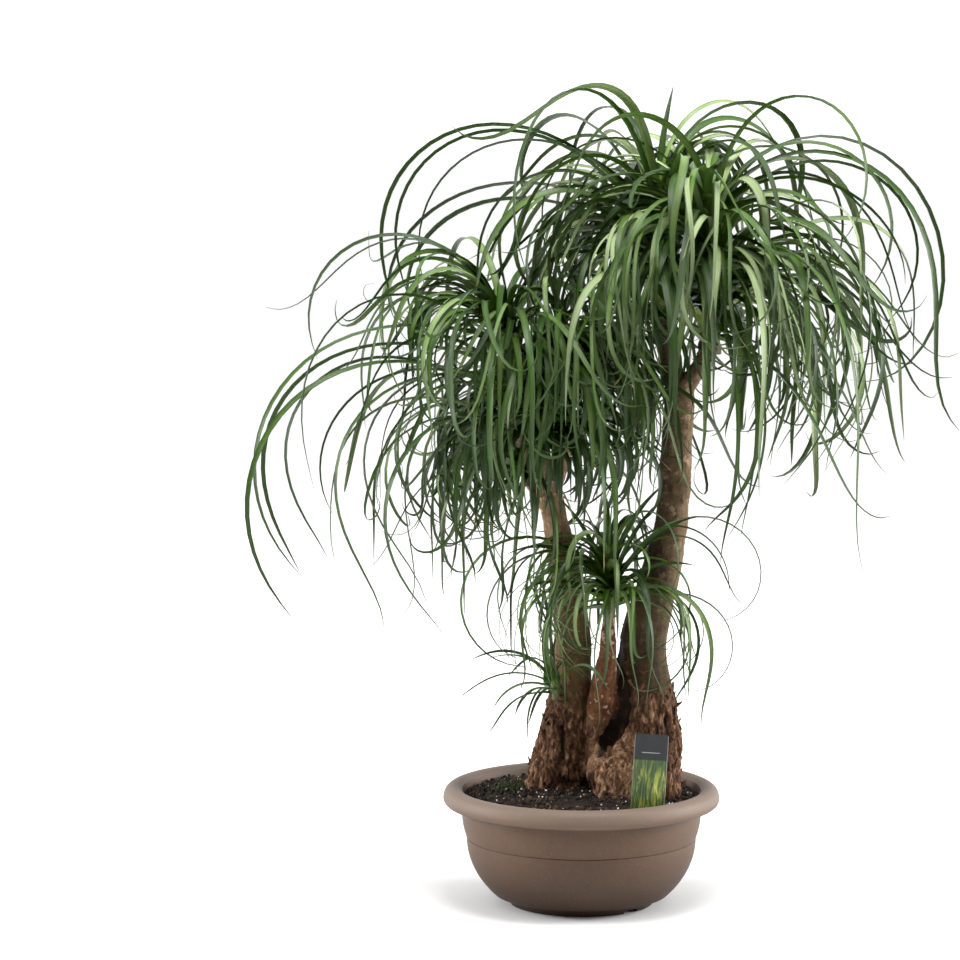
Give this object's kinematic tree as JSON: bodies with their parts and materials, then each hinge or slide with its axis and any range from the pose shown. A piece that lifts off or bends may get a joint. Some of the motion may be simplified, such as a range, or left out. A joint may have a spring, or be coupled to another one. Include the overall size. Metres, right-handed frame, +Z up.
{
  "type": "potted ponytail palm",
  "caption": "Ponytail palm with two swollen corky trunks and drooping ribbon leaves, rooted in soil in a round bowl pot with a rolled rim and a plain plant label.",
  "frame": {"origin": "middle of the pot's underside, on the surface it stands on", "axes": "+Z up along the pot's axis, +X to the taller trunk's side, -Y towards the label and the front"},
  "size_m": [0.7464, 0.5124, 0.8846],
  "materials": {
    "pot": "taupe moulded plastic, matt, a little paler on the rim",
    "soil": "damp dark peat with wood crumbs and white perlite",
    "bark": "living bark, corky and cracked below, smooth grey-brown above",
    "label": "printed plastic card, dark header over soft green stripes",
    "leaf": "living leaf, deep green with a grey-green bloom, satin"
  },
  "bodies": {
    "root": {"pot": "pot", "soil": "soil", "trunk": "bark", "label": "label", "leaves_right_back": "leaf", "leaves_right_front": "leaf", "leaves_left_back": "leaf", "leaves_left_front": "leaf", "leaves_left_low": "leaf", "leaves_middle": "leaf", "leaves_low_tuft": "leaf"}
  },
  "joints": []
}
